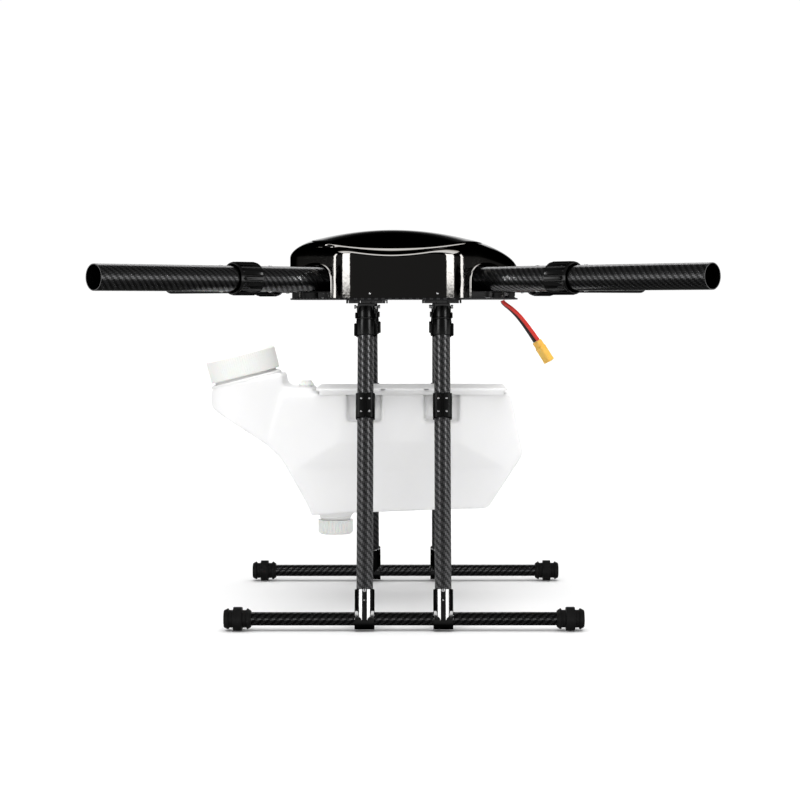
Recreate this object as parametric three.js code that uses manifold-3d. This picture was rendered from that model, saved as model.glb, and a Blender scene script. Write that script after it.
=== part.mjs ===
// Agricultural spray drone: bare folding frame with its landing gear, tank and power lead.
// Millimetres. Origin on the ground under the hub, +Z up, front towards -Y, tank filler at -X.
import * as THREE from 'three';
import { mergeVertices } from 'three/addons/utils/BufferGeometryUtils.js';
import Module from 'manifold-3d';

const wasm = await Module();
wasm.setup();

// ---------- driving dimensions ----------
const GAP = 0.3;
const ROUND = 24;
const SMALL_ROUND = 16;
const CAP_ROUND = 32;

const HUB_HALF = 188;
const HUB_FACE = { left: -98, right: 88 };
const HUB_CORNER = 50;
const LOWER_PLATE_Z = 517;
const LOWER_PLATE_TOP = 519.7;
const UPPER_PLATE_Z = 580;
const UPPER_PLATE_TOP = 583;
const UPPER_PLATE_INSET = 24;
const POWER_BOARD = { halfX: 45, halfY: 35, top: 534 };

const CANOPY_WALL = 2.5;
const CANOPY_BOTTOM = 520;
const CANOPY_PEAK = 635;
const CANOPY_PEAK_X = -20;
const CANOPY_ARC = 1000;
const CANOPY_SIDE_NOTCH = { x: 148, z: 531 };
const CANOPY_SHOULDER = 10;
const ARCH = { half: 32, top: 573, head: 25.6, near: 160, far: 225 };

const ARM_Z = 550;
const ARM_R = 20;
const ARM_BORE = 18.5;
const ARM_ANGLES = { rear_right: 45, rear_left: 135, front_left: 225, front_right: 315 };
const SOCKET = { x0: 112, x1: 172, half: 27 };
const STUB = { x0: 104, x1: 335.7 };
const ARM_TUBE = { x0: 377.8, x1: 637.8 };
const PIVOT = { x: 357, y: 13 };
const HINGE = { base0: 288, head0: 336, knuckle1: 425, split: 0.2 };
const HINGE_R = { spigot: 18.1, baseHead: 21.4, armHead: 18, wireWay: 8 };
const BARREL = { r: 4.5, pocket: 4.9, mid: 5.8, ear0: 6.4, ear1: 12.4, pin: 2.4, pinBore: 2.8 };
const FOLD_CHAMFER = { angle: Math.PI / 8, reach: 60, step: 0.4 };
const COLLAR = { x0: 330, x1: 377, r: 26.5, bore: 21.8, bevel: 2.5 };

const LEG_X = 61.5;
const LEG_TOP = { y: 150, z: 510 };
const SKID = { y: 272, z: 18.5, r: 10.5, bore: 9, half: 279 };
const LEG_TILT = Math.atan2(SKID.y - LEG_TOP.y, LEG_TOP.z - SKID.z);
const LEG_LENGTH = Math.hypot(SKID.y - LEG_TOP.y, LEG_TOP.z - SKID.z);
const LEG_R = 13;
const LEG_BORE = 11.5;
const LEG_SOCKET_BORE = 13.3;
const LEG_SLEEVE_R = 15.5;
const LEG_TUBE = { z0: -490, z1: -14 };
const MOUNT = { halfX: 31, halfY: 22, z0: 511, z1: 516.7, yShift: -2, neckX: 14, neckY: 15 };
const MOUNT_SLEEVE = { top: -7, end: 53.6 };
const MOUNT_LUG = { halfX: 19, halfY: 4.5, z0: -52.6, z1: -32 };
const CLAMP = { z: 346.5, half: 20, halfX: 15.2, halfY: 17, bevel: 5, bossR: 12, bossY: 150 };
const TEE = { top: 460.6, halfX: 15.5, bore: 10.8 };
const TEE_SIDE = [[-16, -6], [-9, -15.5], [9, -15.5], [16, -6], [16, 14], [-16, 14]];
const FOOT_PROFILE = [
  [0, 15.5], [8, 15.5], [8, 14], [15, 14], [15, 18.5],
  [28, 18.5], [28, 14], [35, 14], [35, 15.5], [43, 15.5],
];
const FOOT_X = 238.7;
const FOOT_END_WALL = 2.4;

const RAIL = { r: 9, bore: 7.5, half: 172 };
const TANK_WALL = 3;
const TANK_HALF_Y = 90;
const SPOUT_HALF_Y = 62;
const SPOUT_END_X = -266;
const TANK_SIDE = [
  [-158, 168], [-157, 157], [-105, 161], [86, 168], [139, 169], [178, 230],
  [198, 259], [176, 365], [-205, 365], [-228, 274], [-205, 252], [-184, 216],
];
const SPOUT_SIDE = [
  [-150, 371.5], [-201, 371.5], [-203, 397], [-324, 370], [-328, 358], [-328, 342],
  [-323, 334], [-271, 302], [-228, 274], [-205, 252], [-184, 216], [-150, 200],
];
const TANK_SECTION = [[66, 150], [72.5, 236], [90, 281], [90, 380]];
const TANK_PLAN = [[-235, 62], [-182, 72], [-108, 90], [93, 90], [171, 72], [200, 65]];
const FLANGE = { x0: -146, x1: 170, half: 95, z0: 364, z1: 373.5 };
const POCKETS_X = [[-94, -38], [33, 91]];
const POCKET_STEPS = [{ z0: 315, z1: 364, depth: 20 }, { z0: 284, z1: 364, depth: 8 }];
const TUNNEL = { halfX: 12, z0: 334.5, z1: 358.5 };
const FILLER = { x: -268.5, z: 386, tilt: Math.atan2(28, 112) };
const NECK = { r: 53, bore: 47, bottom: -12, top: 24 };
const FILLER_CAP = { r: 59.5, bore: 53.8, bottom: 4, top: 43, wall: 4 };
const OUTLET = { x: -117.5, r: 24, bore: 19, end: 134, root: 170 };
const OUTLET_CAP = { r: 29.5, bore: 24.5, z0: 120, z1: 144, floor: 4 };
const BREATHER = { x: -166, r: 13, z: 371.8, height: 9.5 };

const LEAD_R = 3.15;
const LEAD_Y = -20;
const LEAD_SPREAD = { start: 4.6, growth: 0.7 };
const GROMMET = { x: 165, halfX: 8, halfY: 12, z0: 517, z1: 523 };
const LEAD_ROUTE = [
  [165, 515.4], [166.2, 512.6], [170.5, 508.5], [179, 502],
  [190, 491.5], [200, 479.5], [212, 463], [222.5, 447.5],
];
const CONNECTOR = { x: 222.5, z: 447.5, dx: 0.532, dz: -0.847, turn: 0.552 };
const CONNECTOR_BODY = { length: 41, wide: 21, deep: 12, back: 12, step: 1 };
const CONNECTOR_SOCKET = { r: 3.1, y: 5.3, depth: 16 };
const WIRE_SIDES = 10;
const WIRE_STEPS = 9;

// ---------- materials ----------
const finishes = {
  canopy: { color: 0x0b0b0c, roughness: 0.08, metalness: 0.0 },
  carbon: { color: 0x1b1b1d, roughness: 0.35, metalness: 0.0 },
  legCarbon: { color: 0x333336, roughness: 0.4, metalness: 0.0 },
  anodised: { color: 0x111113, roughness: 0.45, metalness: 0.6 },
  moulded: { color: 0x141414, roughness: 0.5, metalness: 0.0 },
  rubber: { color: 0x161616, roughness: 0.8, metalness: 0.0 },
  tank: { color: 0xe9eaec, roughness: 0.45, metalness: 0.0 },
  cap: { color: 0xf3f2ee, roughness: 0.4, metalness: 0.0 },
  board: { color: 0x1d3a24, roughness: 0.6, metalness: 0.1 },
  redWire: { color: 0xc02018, roughness: 0.35, metalness: 0.0 },
  blackWire: { color: 0x0e0e0e, roughness: 0.35, metalness: 0.0 },
  connector: { color: 0xf2b632, roughness: 0.45, metalness: 0.0 },
};

// ---------- helpers ----------
function solid(geometry) {
  const plain = geometry.clone();
  plain.deleteAttribute('normal');
  plain.deleteAttribute('uv');
  const merged = mergeVertices(plain, 1e-4);
  return new wasm.Manifold(new wasm.Mesh({
    numProp: 3,
    vertProperties: new Float32Array(merged.attributes.position.array),
    triVerts: new Uint32Array(merged.index.array),
  }));
}

function piece(name, shape, finish, parent) {
  const data = shape.getMesh();
  const geometry = new THREE.BufferGeometry();
  geometry.setAttribute('position', new THREE.BufferAttribute(new Float32Array(data.vertProperties), 3));
  geometry.setIndex(new THREE.BufferAttribute(new Uint32Array(data.triVerts), 1));
  geometry.computeVertexNormals();
  const mesh = new THREE.Mesh(geometry, new THREE.MeshStandardMaterial(finishes[finish]));
  mesh.name = name;
  parent.add(mesh);
}

function rodX(radius, x0, x1, y = 0, z = 0, sides = ROUND) {
  const geometry = new THREE.CylinderGeometry(radius, radius, x1 - x0, sides);
  geometry.rotateZ(Math.PI / 2).translate((x0 + x1) / 2, y, z);
  return solid(geometry);
}

function rodY(radius, y0, y1, x = 0, z = 0, sides = ROUND) {
  const geometry = new THREE.CylinderGeometry(radius, radius, y1 - y0, sides);
  return solid(geometry.translate(x, (y0 + y1) / 2, z));
}

function rodZ(radius, z0, z1, x = 0, y = 0, sides = ROUND) {
  const geometry = new THREE.CylinderGeometry(radius, radius, z1 - z0, sides);
  geometry.rotateX(Math.PI / 2).translate(x, y, (z0 + z1) / 2);
  return solid(geometry);
}

function blockShape(x0, x1, y0, y1, z0, z1) {
  const geometry = new THREE.BoxGeometry(x1 - x0, y1 - y0, z1 - z0);
  return geometry.translate((x0 + x1) / 2, (y0 + y1) / 2, (z0 + z1) / 2);
}

function block(x0, x1, y0, y1, z0, z1) {
  return solid(blockShape(x0, x1, y0, y1, z0, z1));
}

function shapeOf(points) {
  return new THREE.Shape(points.map(([x, y]) => new THREE.Vector2(x, y)));
}

function prismZ(points, z0, z1) {
  const geometry = new THREE.ExtrudeGeometry(shapeOf(points), { depth: z1 - z0, bevelEnabled: false });
  return solid(geometry.translate(0, 0, z0));
}

// Extrudes an outline drawn in X and Z across Y, from -half to +half.
function prismY(points, half) {
  const geometry = new THREE.ExtrudeGeometry(shapeOf(points), { depth: 2 * half, bevelEnabled: false });
  return solid(geometry.rotateX(Math.PI / 2).translate(0, half, 0));
}

// Extrudes an outline drawn in Y and Z along X.
function prismX(points, x0, x1) {
  const geometry = new THREE.ExtrudeGeometry(shapeOf(points), { depth: x1 - x0, bevelEnabled: false });
  return solid(geometry.rotateX(Math.PI / 2).rotateZ(Math.PI / 2).translate(x0, 0, 0));
}

function tubeX(outer, bore, x0, x1, z = 0) {
  return rodX(outer, x0, x1, 0, z).subtract(rodX(bore, x0 - 1, x1 + 1, 0, z));
}

// Moves every edge of a counter-clockwise outline inwards by the same distance.
function inset(points, distance) {
  const count = points.length;
  return points.map((corner, i) => {
    const before = points[(i + count - 1) % count];
    const after = points[(i + 1) % count];
    const a = new THREE.Vector2(corner[0] - before[0], corner[1] - before[1]).normalize();
    const b = new THREE.Vector2(after[0] - corner[0], after[1] - corner[1]).normalize();
    const bisector = new THREE.Vector2(-a.y - b.y, a.x + b.x).normalize();
    const reach = distance / (bisector.x * -b.y + bisector.y * b.x);
    return [corner[0] + bisector.x * reach, corner[1] + bisector.y * reach];
  });
}

// ---------- hub ----------
// The eight-sided outline shared by the canopy and both plates, moved inwards by a margin.
function hubOutline(margin = 0) {
  const slope = Math.tan(Math.PI / 8);
  const half = HUB_HALF - margin;
  const left = HUB_FACE.left + margin * slope;
  const right = HUB_FACE.right - margin * slope;
  const shape = new THREE.Shape();
  const corners = [
    [half, -right], [half, right], [right, half], [left, half],
    [-half, -left], [-half, left], [left, -half], [right, -half],
  ].map(([x, y]) => new THREE.Vector2(x, y));
  const trim = (HUB_CORNER - margin) * slope;
  corners.forEach((point, i) => {
    const before = corners[(i + 7) % 8].clone().sub(point).setLength(trim).add(point);
    const after = corners[(i + 1) % 8].clone().sub(point).setLength(trim).add(point);
    if (i === 0) shape.moveTo(before.x, before.y);
    else shape.lineTo(before.x, before.y);
    shape.quadraticCurveTo(point.x, point.y, after.x, after.y);
  });
  shape.closePath();
  return shape.getPoints(3).slice(0, -1).map((p) => [p.x, p.y]);
}

function canopyTop(x, y) {
  const along = x - CANOPY_PEAK_X;
  const ridge = CANOPY_PEAK - along * along / CANOPY_ARC;
  const fall = Math.max(5, 36 - 29 * (along / 137) ** 2);
  const shoulder = CANOPY_SHOULDER * THREE.MathUtils.smoothstep(Math.abs(x), 160, HUB_HALF);
  return ridge - fall * (Math.abs(y) / HUB_HALF) ** 1.6 - shoulder;
}

// A block whose top follows the canopy's crown, lowered by the given depth.
function crownBlock(bottom, depth) {
  const side = 2 * HUB_HALF + 8;
  const geometry = new THREE.BoxGeometry(side, side, 10, 14, 8, 1);
  const spot = geometry.attributes.position;
  for (let i = 0; i < spot.count; i += 1) {
    const top = spot.getZ(i) > 0;
    spot.setZ(i, top ? canopyTop(spot.getX(i), spot.getY(i)) - depth : bottom);
  }
  return solid(geometry);
}

// The doorway through which an arm leaves the canopy.
function archCutter(angle) {
  const { half, top, head, near, far } = ARCH;
  const outline = new THREE.Shape();
  const base = CANOPY_BOTTOM - 5;
  outline.moveTo(-half, base);
  outline.lineTo(half, base);
  outline.lineTo(half, top - head);
  outline.absellipse(0, top - head, half, head, 0, Math.PI, false, 0);
  const options = { depth: far - near, bevelEnabled: false, curveSegments: 8 };
  const geometry = new THREE.ExtrudeGeometry(outline, options);
  geometry.rotateX(Math.PI / 2).rotateZ(Math.PI / 2).translate(near, 0, 0);
  return solid(geometry.rotateZ(THREE.MathUtils.degToRad(angle)));
}

function canopy() {
  const above = CANOPY_PEAK + 15;
  const outer = prismZ(hubOutline(), CANOPY_BOTTOM, above).intersect(crownBlock(CANOPY_BOTTOM - 5, 0));
  const inner = prismZ(hubOutline(CANOPY_WALL), CANOPY_BOTTOM - 5, above)
    .intersect(crownBlock(CANOPY_BOTTOM - 8, CANOPY_WALL));
  let shell = outer.subtract(inner);
  for (const angle of Object.values(ARM_ANGLES)) shell = shell.subtract(archCutter(angle));
  const { x, z } = CANOPY_SIDE_NOTCH;
  const past = HUB_HALF + 12;
  shell = shell.subtract(block(x, past, -past, past, CANOPY_BOTTOM - 20, z));
  return shell.subtract(block(-past, -x, -past, past, CANOPY_BOTTOM - 20, z));
}

function lowerPlate() {
  const plate = prismZ(hubOutline(), LOWER_PLATE_Z, LOWER_PLATE_TOP);
  const { x, halfX, halfY } = GROMMET;
  return plate.subtract(block(x - halfX - GAP, x + halfX + GAP,
    LEAD_Y - halfY - GAP, LEAD_Y + halfY + GAP, LOWER_PLATE_Z - 1, LOWER_PLATE_TOP + 1));
}

function upperPlate() {
  return prismZ(hubOutline(UPPER_PLATE_INSET), UPPER_PLATE_Z, UPPER_PLATE_TOP);
}

function powerBoard() {
  const { halfX, halfY, top } = POWER_BOARD;
  return block(-halfX, halfX, -halfY, halfY, LOWER_PLATE_TOP + GAP, top);
}

function buildHub(parent) {
  piece('canopy', canopy(), 'canopy', parent);
  piece('lower_plate', lowerPlate(), 'carbon', parent);
  piece('upper_plate', upperPlate(), 'carbon', parent);
  piece('power_board', powerBoard(), 'board', parent);
}

// ---------- folding arms, drawn with the arm along +X and its axis at z = 0 ----------
function armSocket() {
  const low = LOWER_PLATE_TOP + GAP - ARM_Z;
  const high = UPPER_PLATE_Z - GAP - ARM_Z;
  const { x0, x1, half } = SOCKET;
  return block(x0, x1, -half, half, low, high).subtract(rodX(ARM_R + GAP, x0 - 1, x1 + 1));
}

// Cuts the fold side of a hinge half back from the pivot, so that the halves meet at full fold.
function foldChamfer(side) {
  const { angle, reach, step } = FOLD_CHAMFER;
  const start = PIVOT.y - 2 * GAP;
  const wedge = [
    [PIVOT.x - side, start - step], [PIVOT.x + side * reach, start + reach * Math.tan(angle)],
    [PIVOT.x + side * reach, reach], [PIVOT.x - side, reach],
  ];
  return prismZ(side > 0 ? wedge : wedge.reverse(), -30, 30);
}

function barrel(radius, z0, z1) {
  return rodZ(radius, z0, z1, PIVOT.x, PIVOT.y, SMALL_ROUND);
}

function hingeBase() {
  const head = rodX(HINGE_R.baseHead, HINGE.head0, PIVOT.x - HINGE.split);
  let body = rodX(HINGE_R.spigot, HINGE.base0, HINGE.head0 + 1).add(head);
  body = body.subtract(foldChamfer(-1));
  body = body.subtract(rodX(HINGE_R.wireWay, HINGE.base0 - 1, PIVOT.x + 1, 0, 0, SMALL_ROUND));
  body = body.add(barrel(BARREL.r, BARREL.ear0, BARREL.ear1)).add(barrel(BARREL.r, -BARREL.ear1, -BARREL.ear0));
  body = body.subtract(barrel(BARREL.pocket, -BARREL.ear0, BARREL.ear0));
  return body.add(barrel(BARREL.pin, -BARREL.ear1, BARREL.ear1));
}

function hingeKnuckle() {
  const head = rodX(HINGE_R.armHead, PIVOT.x + HINGE.split, HINGE.knuckle1);
  let body = head.subtract(foldChamfer(1));
  body = body.subtract(rodX(HINGE_R.wireWay, PIVOT.x - 1, HINGE.knuckle1 + 1, 0, 0, SMALL_ROUND));
  body = body.add(barrel(BARREL.r, -BARREL.mid, BARREL.mid));
  body = body.subtract(barrel(BARREL.pocket, BARREL.mid, 20)).subtract(barrel(BARREL.pocket, -20, -BARREL.mid));
  return body.subtract(barrel(BARREL.pinBore, -20, 20));
}

function lockCollar() {
  const { x0, x1, r, bore, bevel } = COLLAR;
  const outline = [
    [bore, x0], [r - bevel, x0], [r, x0 + bevel], [r, x1 - bevel], [r - bevel, x1], [bore, x1], [bore, x0],
  ].map(([radius, x]) => new THREE.Vector2(radius, x));
  return solid(new THREE.LatheGeometry(outline, ROUND).rotateZ(-Math.PI / 2));
}

function buildArm(place, degrees, parent) {
  const arm = new THREE.Group();
  arm.position.z = ARM_Z;
  arm.rotation.z = THREE.MathUtils.degToRad(degrees);
  parent.add(arm);
  piece(`arm_socket_${place}`, armSocket(), 'moulded', arm);
  piece(`stub_tube_${place}`, tubeX(ARM_R, ARM_BORE, STUB.x0, STUB.x1), 'carbon', arm);
  piece(`hinge_base_${place}`, hingeBase(), 'anodised', arm);
  piece(`lock_collar_${place}`, lockCollar(), 'anodised', arm);
  piece(`hinge_knuckle_${place}`, hingeKnuckle(), 'anodised', arm);
  piece(`arm_tube_${place}`, tubeX(ARM_R, ARM_BORE, ARM_TUBE.x0, ARM_TUBE.x1), 'carbon', arm);
}

// ---------- legs, drawn upright under their top joint and then splayed ----------
function upright(geometry, splay) {
  return solid(geometry.rotateX(-splay));
}

function legMount(splay, side) {
  const { halfX, halfY, z0, z1, yShift, neckX, neckY } = MOUNT;
  const { top, end } = MOUNT_SLEEVE;
  const lug = MOUNT_LUG;
  const lift = LEG_TOP.z;
  const mid = side * yShift;
  const plate = upright(blockShape(-halfX, halfX, mid - halfY, mid + halfY, z0 - lift, z1 - lift), splay);
  const neck = upright(blockShape(-neckX, neckX, -neckY, neckY, LEG_TUBE.z1, z0 - lift + 1), splay);
  const lugs = block(-lug.halfX, lug.halfX, -lug.halfY, lug.halfY, lug.z0, lug.z1);
  const sleeve = rodZ(LEG_SLEEVE_R, -end, top);
  return plate.add(neck).add(sleeve).add(lugs).subtract(rodZ(LEG_SOCKET_BORE, -end - 1, LEG_TUBE.z1 + 1));
}

function legTube() {
  const { z0, z1 } = LEG_TUBE;
  return rodZ(LEG_R, z0, z1).subtract(rodZ(LEG_BORE, z0 - 1, z1 + 1));
}

// An octagonal clamp with a boss towards the tank, bored for the rail that the tank rides on.
function legClamp(splay, side) {
  const middle = -(LEG_TOP.z - CLAMP.z) / Math.cos(LEG_TILT);
  const { half, halfX, halfY, bevel } = CLAMP;
  const body = prismZ([
    [-halfX, -halfY + bevel], [-halfX + bevel, -halfY], [halfX - bevel, -halfY], [halfX, -halfY + bevel],
    [halfX, halfY - bevel], [halfX - bevel, halfY], [-halfX + bevel, halfY], [-halfX, halfY - bevel],
  ], middle - half, middle + half);
  const far = side * (CLAMP.bossY - LEG_TOP.y);
  const near = side * (RAIL.half + 2 - LEG_TOP.y);
  const drop = CLAMP.z - LEG_TOP.z;
  const overlap = 8;
  const length = Math.abs(near - far) + overlap;
  const centre = (near + far) / 2 + side * overlap / 2;
  const level = (radius, y) => upright(
    new THREE.CylinderGeometry(radius, radius, length, SMALL_ROUND).translate(0, y, drop), splay);
  return body.add(level(CLAMP.bossR, centre)).subtract(level(RAIL.r + GAP, centre - side * overlap))
    .subtract(rodZ(LEG_SOCKET_BORE, middle - half - 1, middle + half + 1));
}

function skidJoint(splay) {
  const { top, halfX, bore } = TEE;
  const sleeve = rodZ(LEG_SLEEVE_R, -LEG_LENGTH, -top);
  const base = prismX(TEE_SIDE, -halfX, halfX)
    .rotate([-THREE.MathUtils.radToDeg(splay), 0, 0]).translate([0, 0, -LEG_LENGTH]);
  return sleeve.add(base).subtract(rodZ(LEG_SOCKET_BORE, LEG_TUBE.z0 - 1, -top + 1))
    .subtract(rodX(bore, -halfX - 1, halfX + 1, 0, -LEG_LENGTH));
}

function buildLeg(place, sideX, sideY, parent) {
  const splay = sideY * LEG_TILT;
  const leg = new THREE.Group();
  leg.position.set(sideX * LEG_X, sideY * LEG_TOP.y, LEG_TOP.z);
  leg.rotation.x = splay;
  parent.add(leg);
  piece(`leg_mount_${place}`, legMount(splay, sideY), 'moulded', leg);
  piece(`leg_tube_${place}`, legTube(), 'legCarbon', leg);
  piece(`leg_clamp_${place}`, legClamp(splay, sideY), 'anodised', leg);
  piece(`skid_joint_${place}`, skidJoint(splay), 'anodised', leg);
}

function foot(side) {
  const ring = FOOT_PROFILE.map(([x, r]) => new THREE.Vector2(r, FOOT_X + x));
  const end = FOOT_X + FOOT_PROFILE.at(-1)[0];
  const outline = [new THREE.Vector2(0, FOOT_X), ...ring, new THREE.Vector2(0, end)];
  const body = solid(new THREE.LatheGeometry(outline, ROUND).rotateZ(-Math.PI / 2));
  const bored = body.subtract(rodX(SKID.r + GAP, FOOT_X - 1, end - FOOT_END_WALL));
  return side > 0 ? bored : bored.rotate([0, 0, 180]);
}

function buildSkids(parent) {
  for (const [end, side] of [['front', -1], ['rear', 1]]) {
    const skid = new THREE.Group();
    skid.position.set(0, side * SKID.y, SKID.z);
    parent.add(skid);
    piece(`skid_tube_${end}`, tubeX(SKID.r, SKID.bore, -SKID.half, SKID.half), 'carbon', skid);
    piece(`foot_${end}_left`, foot(-1), 'rubber', skid);
    piece(`foot_${end}_right`, foot(1), 'rubber', skid);
  }
}

// ---------- tank ----------
function tilted(shape) {
  return shape.rotate([0, -THREE.MathUtils.radToDeg(FILLER.tilt), 0]).translate([FILLER.x, 0, FILLER.z]);
}

function mirrored(points) {
  return [...points, ...points.map(([a, b]) => [-a, b]).reverse()];
}

// The neck end of the spout is round in plan, about the filler's axis.
function spoutForm(depth) {
  const half = SPOUT_HALF_Y - depth;
  const plan = rodZ(half, 100, 450, SPOUT_END_X, 0).add(block(SPOUT_END_X, 0, -half, half, 100, 450));
  return prismY(inset(SPOUT_SIDE, depth), half).intersect(plan);
}

// The tank's outer form, or with a depth above zero the hollow inside it.
function tankForm(depth) {
  const section = prismX(inset(mirrored(TANK_SECTION), depth), -400, 300);
  const planPoints = [...TANK_PLAN.map(([x, y]) => [x, -y]), ...[...TANK_PLAN].reverse()];
  const plan = prismZ(inset(planPoints, depth), 100, 450);
  let form = prismY(inset(TANK_SIDE, depth), TANK_HALF_Y - depth).intersect(section).intersect(plan);
  form = form.add(spoutForm(depth));
  for (const railX of [-LEG_X, LEG_X]) {
    const half = TUNNEL.halfX + depth;
    form = form.subtract(block(railX - half, railX + half, -120, 120, TUNNEL.z0 - depth, TUNNEL.z1 + depth));
  }
  for (const [x0, x1] of POCKETS_X) {
    for (const step of POCKET_STEPS) {
      const floor = TANK_HALF_Y - step.depth - depth;
      const [low, high] = [step.z0 - depth, step.z1 + depth];
      form = form.subtract(block(x0 - depth, x1 + depth, floor, 120, low, high));
      form = form.subtract(block(x0 - depth, x1 + depth, -120, -floor, low, high));
    }
  }
  return form;
}

function tankBody() {
  const flange = block(FLANGE.x0, FLANGE.x1, -FLANGE.half, FLANGE.half, FLANGE.z0, FLANGE.z1);
  const neck = tilted(rodZ(NECK.r, NECK.bottom, NECK.top));
  const neckBore = tilted(rodZ(NECK.bore, 3 * NECK.bottom, NECK.top + 1));
  const outlet = rodZ(OUTLET.r, OUTLET.end, OUTLET.root, OUTLET.x, 0);
  const outletBore = rodZ(OUTLET.bore, OUTLET.end - 1, OUTLET.root + 6, OUTLET.x, 0);
  const outer = tankForm(0).add(flange).add(neck).add(outlet);
  return outer.subtract(tankForm(TANK_WALL)).subtract(neckBore).subtract(outletBore);
}

function fillerCap() {
  const { r, bore, bottom, top, wall } = FILLER_CAP;
  const hollow = rodZ(bore, bottom - 1, top - wall, 0, 0, CAP_ROUND);
  return tilted(rodZ(r, bottom, top, 0, 0, CAP_ROUND).subtract(hollow));
}

function outletCap() {
  const { r, bore, z0, z1, floor } = OUTLET_CAP;
  return rodZ(r, z0, z1, OUTLET.x, 0).subtract(rodZ(bore, z0 + floor, z1 + 1, OUTLET.x, 0));
}

function breatherCap() {
  const { x, r, z, height } = BREATHER;
  const outline = [[0, 0], [r, 0], [r, height * 0.55], [r - 4, height], [0, height]];
  const dome = new THREE.LatheGeometry(outline.map(([a, b]) => new THREE.Vector2(a, b)), SMALL_ROUND);
  return solid(dome.rotateX(Math.PI / 2).translate(x, 0, z));
}

function buildTank(parent) {
  piece('tank_body', tankBody(), 'tank', parent);
  piece('filler_cap', fillerCap(), 'cap', parent);
  piece('outlet_cap', outletCap(), 'cap', parent);
  piece('breather_cap', breatherCap(), 'cap', parent);
  for (const [name, x] of [['left', -LEG_X], ['right', LEG_X]]) {
    const past = RAIL.half + 1;
    const rail = rodY(RAIL.r, -RAIL.half, RAIL.half, x, CLAMP.z, SMALL_ROUND)
      .subtract(rodY(RAIL.bore, -past, past, x, CLAMP.z, SMALL_ROUND));
    piece(`tank_rail_${name}`, rail, 'carbon', parent);
  }
}

// ---------- power lead ----------
function wireCurve(side) {
  const last = LEAD_ROUTE.length - 1;
  const across = CONNECTOR.turn;
  return new THREE.CatmullRomCurve3(LEAD_ROUTE.map(([x, z], i) => {
    const share = Math.sin(across) * i / last;
    const spread = LEAD_SPREAD.start + LEAD_SPREAD.growth * i / last;
    const sideways = spread * Math.sqrt(1 - share * share);
    return new THREE.Vector3(
      x - side * -CONNECTOR.dz * spread * share,
      LEAD_Y + side * sideways,
      z - side * CONNECTOR.dx * spread * share,
    );
  }));
}

function wire(side) {
  const round = new THREE.Shape(Array.from({ length: WIRE_SIDES }, (_, i) => {
    const turn = 2 * Math.PI * i / WIRE_SIDES;
    return new THREE.Vector2(LEAD_R * Math.cos(turn), LEAD_R * Math.sin(turn));
  }));
  const options = { steps: WIRE_STEPS, bevelEnabled: false, extrudePath: wireCurve(side) };
  return solid(new THREE.ExtrudeGeometry(round, options));
}

function connectorBody() {
  const { wide, deep, length, back, step } = CONNECTOR_BODY;
  const { r, depth } = CONNECTOR_SOCKET;
  const [x, y] = [deep / 2, wide / 2];
  const rear = block(-x + step, x - step, -y + step, y - step, -back - 1, -GAP);
  const front = block(-x, x, -y, y, -length, -back);
  const sockets = [-1, 1].map(
    (side) => rodZ(r, -length - 1, depth - length, 0, side * CONNECTOR_SOCKET.y, SMALL_ROUND));
  const shell = rear.add(front).subtract(sockets[0]).subtract(sockets[1]);
  const slant = Math.atan2(CONNECTOR.dx, -CONNECTOR.dz);
  return shell.rotate([0, 0, THREE.MathUtils.radToDeg(CONNECTOR.turn)])
    .rotate([0, -THREE.MathUtils.radToDeg(slant), 0])
    .translate([CONNECTOR.x, LEAD_Y, CONNECTOR.z]);
}

function grommet() {
  const { x, halfX, halfY, z0, z1 } = GROMMET;
  return block(x - halfX, x + halfX, LEAD_Y - halfY, LEAD_Y + halfY, z0, z1);
}

function buildLead(parent) {
  piece('lead_grommet', grommet(), 'rubber', parent);
  piece('lead_red', wire(-1), 'redWire', parent);
  piece('lead_black', wire(1), 'blackWire', parent);
  piece('lead_connector', connectorBody(), 'connector', parent);
}

// ---------- assembly ----------
const drone = new THREE.Group();
buildHub(drone);
for (const [place, degrees] of Object.entries(ARM_ANGLES)) buildArm(place, degrees, drone);
for (const [end, sideY] of [['front', -1], ['rear', 1]]) {
  for (const [flank, sideX] of [['left', -1], ['right', 1]]) buildLeg(`${end}_${flank}`, sideX, sideY, drone);
}
buildSkids(drone);
buildTank(drone);
buildLead(drone);

export default drone;
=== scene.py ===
"""Looks for a folding agricultural spray drone frame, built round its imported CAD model."""
import math

import bmesh
import bpy
from mathutils import Matrix, Vector


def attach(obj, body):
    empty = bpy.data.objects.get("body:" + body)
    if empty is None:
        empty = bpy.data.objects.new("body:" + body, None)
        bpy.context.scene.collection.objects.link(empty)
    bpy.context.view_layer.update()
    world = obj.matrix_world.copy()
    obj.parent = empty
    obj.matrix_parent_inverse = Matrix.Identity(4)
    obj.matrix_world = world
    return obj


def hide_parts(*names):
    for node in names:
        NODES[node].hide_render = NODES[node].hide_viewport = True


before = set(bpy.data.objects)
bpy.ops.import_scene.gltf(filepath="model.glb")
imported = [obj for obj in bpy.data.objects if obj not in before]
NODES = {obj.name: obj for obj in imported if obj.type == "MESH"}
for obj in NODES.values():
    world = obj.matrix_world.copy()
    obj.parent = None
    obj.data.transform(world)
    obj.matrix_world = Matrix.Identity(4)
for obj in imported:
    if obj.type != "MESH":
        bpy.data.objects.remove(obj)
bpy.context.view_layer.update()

MM = 0.001
ROOT = "frame"

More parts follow.
